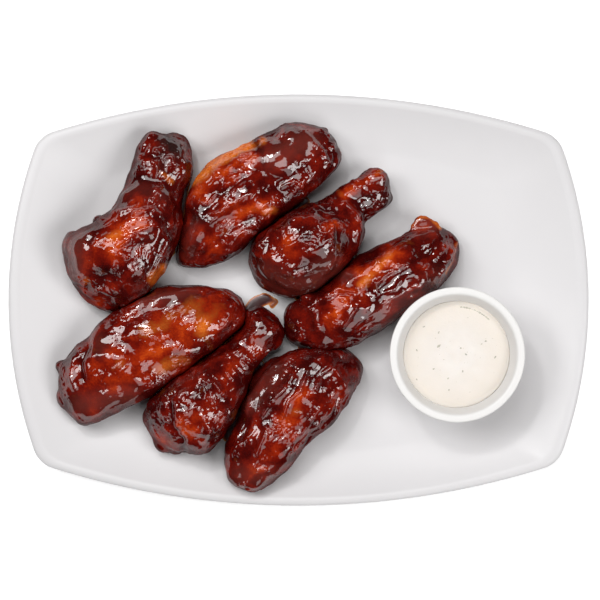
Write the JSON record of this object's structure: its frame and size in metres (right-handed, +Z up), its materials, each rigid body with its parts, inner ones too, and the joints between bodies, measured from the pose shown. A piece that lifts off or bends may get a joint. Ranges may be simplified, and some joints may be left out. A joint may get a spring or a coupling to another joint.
{
  "type": "chicken wings serving",
  "caption": "Oblong white platter holding glazed chicken drumettes and flats and a small round ramekin of creamy white dip, ready to serve.",
  "frame": {"origin": "middle of the platter, on the plane that its foot ring stands on", "axes": "+X along the platter's length, +Y across it, +Z up out of the food"},
  "size_m": [0.28, 0.1986, 0.0412],
  "materials": {
    "porcelain": "white glaze, glossy",
    "dip": "cream, softly shiny",
    "glazed_chicken": "dark red-brown sticky glaze, glossy"
  },
  "bodies": {
    "root": {"platter": "porcelain", "ramekin": "porcelain", "dip": "dip", "drumette_upper_left": "glazed_chicken", "drumette_middle": "glazed_chicken", "drumette_lower": "glazed_chicken", "flat_top": "glazed_chicken", "flat_right": "glazed_chicken", "flat_left": "glazed_chicken", "flat_lower": "glazed_chicken"}
  },
  "joints": []
}
